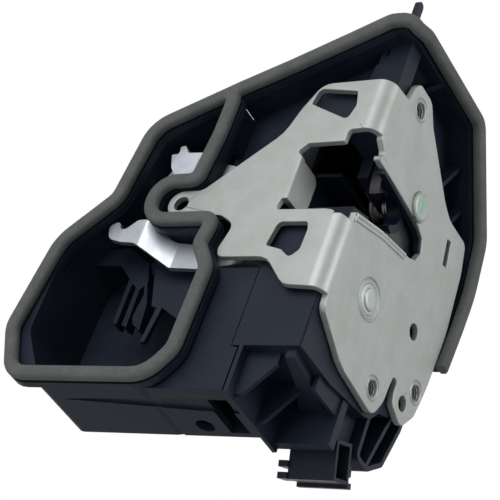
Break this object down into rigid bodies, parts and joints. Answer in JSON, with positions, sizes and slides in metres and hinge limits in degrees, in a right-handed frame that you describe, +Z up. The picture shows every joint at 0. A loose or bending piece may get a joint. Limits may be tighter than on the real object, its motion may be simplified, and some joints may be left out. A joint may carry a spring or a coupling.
{
  "type": "door latch actuator",
  "caption": "Vehicle door latch with electric lock actuator: L-shaped black housing, foam seal, bent zinc plate, striker slot, catch, pawl and release levers.",
  "frame": {"origin": "centre of the upper tapped fixing hole, in the plane of the shut face of the latch plate", "axes": "+X out of the shut face towards the body pillar, +Y from the trim side to the outer skin, +Z up as fitted"},
  "size_m": [0.1224, 0.0936, 0.1687],
  "materials": {
    "moulded_black": "fine textured moulding",
    "carrier_black": "fine textured moulding",
    "seal_foam": "closed-cell foam with a dull skin",
    "zinc_plate": "pressed steel, zinc plated, dull",
    "hardened_steel": "hardened, oiled",
    "quiet_cover": "overmoulded, slightly soft",
    "rivet_steel": "zinc plated",
    "spring_wire": "drawn wire",
    "liner_plastic": "smooth moulding",
    "bumper_rubber": "dull",
    "bright_steel": "bright zinc",
    "white_plastic": "smooth moulding",
    "grey_plastic": "smooth moulding",
    "motor_can": "drawn can",
    "worm_plastic": "smooth moulding",
    "gear_plastic": "smooth moulding",
    "switch_plastic": "smooth moulding",
    "contact_brass": "stamped",
    "screw_steel": "dark zinc"
  },
  "bodies": {
    "body": {"seal_carrier": "moulded_black", "seal": "seal_foam", "latch_plate": "zinc_plate", "latch_housing": "moulded_black", "component_carrier": "carrier_black", "catch_pin": "rivet_steel", "catch_spring": "spring_wire", "pawl_pin": "rivet_steel", "pawl_spring": "spring_wire", "back_plate": "zinc_plate", "slot_liner": "liner_plastic", "bumper": "bumper_rubber", "outer_lever_pin": "rivet_steel", "outer_lever_spring": "spring_wire", "inner_lever_pin": "rivet_steel", "inner_lever_spring": "spring_wire", "cable_guide": "liner_plastic", "reset_pin": "rivet_steel", "lock_motor": "motor_can", "wheel_pin": "rivet_steel", "lock_lever_pin": "rivet_steel", "catch_switch": "switch_plastic", "lock_switch": "switch_plastic", "lead_frame": "contact_brass", "housing_screws": "screw_steel"},
    "catch": {"catch": "hardened_steel", "catch_jacket": "quiet_cover"},
    "pawl": {"pawl": "hardened_steel"},
    "outer_release": {"outer_release_lever": "bright_steel"},
    "inner_release": {"inner_release_lever": "white_plastic", "cable_end_clip": "grey_plastic"},
    "worm": {"drive_worm": "worm_plastic"},
    "wheel": {"worm_wheel": "gear_plastic"},
    "lock_lever": {"lock_lever": "gear_plastic"}
  },
  "joints": [
    {"name": "catch_turn", "type": "hinge", "parent": "body", "child": "catch", "pos_m": [-0.006, 0.018, -0.029], "axis": [1, 0, 0], "range_deg": [0, 65], "stiffness_Nm_per_rad": 0.12},
    {"name": "outer_release_turn", "type": "hinge", "parent": "body", "child": "outer_release", "pos_m": [-0.033, -0.0128, -0.07], "axis": [0, -1, 0], "range_deg": [0, 8], "stiffness_Nm_per_rad": 0.5},
    {"name": "pawl_turn", "type": "hinge", "parent": "body", "child": "pawl", "pos_m": [-0.006, 0.007, -0.076], "axis": [1, 0, 0], "range_deg": [-12, 0], "stiffness_Nm_per_rad": 0.1},
    {"name": "inner_release_turn", "type": "hinge", "parent": "body", "child": "inner_release", "pos_m": [-0.044, -0.0127, -0.041], "axis": [0, -1, 0], "range_deg": [0, 6], "stiffness_Nm_per_rad": 0.3},
    {"name": "wheel_turn", "type": "hinge", "parent": "body", "child": "wheel", "pos_m": [-0.028, 0.028, -0.082], "axis": [1, 0, 0], "range_deg": [-90, 0]},
    {"name": "worm_turn", "type": "hinge", "parent": "body", "child": "worm", "pos_m": [-0.028, 0.04492, -0.081], "axis": [0, 0, 1], "range_deg": [0, 3240]},
    {"name": "lock_lever_turn", "type": "hinge", "parent": "body", "child": "lock_lever", "pos_m": [-0.0245, 0.00202, -0.097], "axis": [1, 0, 0], "range_deg": [0, 30]}
  ],
  "couplings": [
    {"joint": "pawl_turn", "follows": "outer_release_turn", "ratio": -1.5},
    {"joint": "worm_turn", "follows": "wheel_turn", "ratio": -36},
    {"joint": "lock_lever_turn", "follows": "wheel_turn", "ratio": -0.33333}
  ]
}
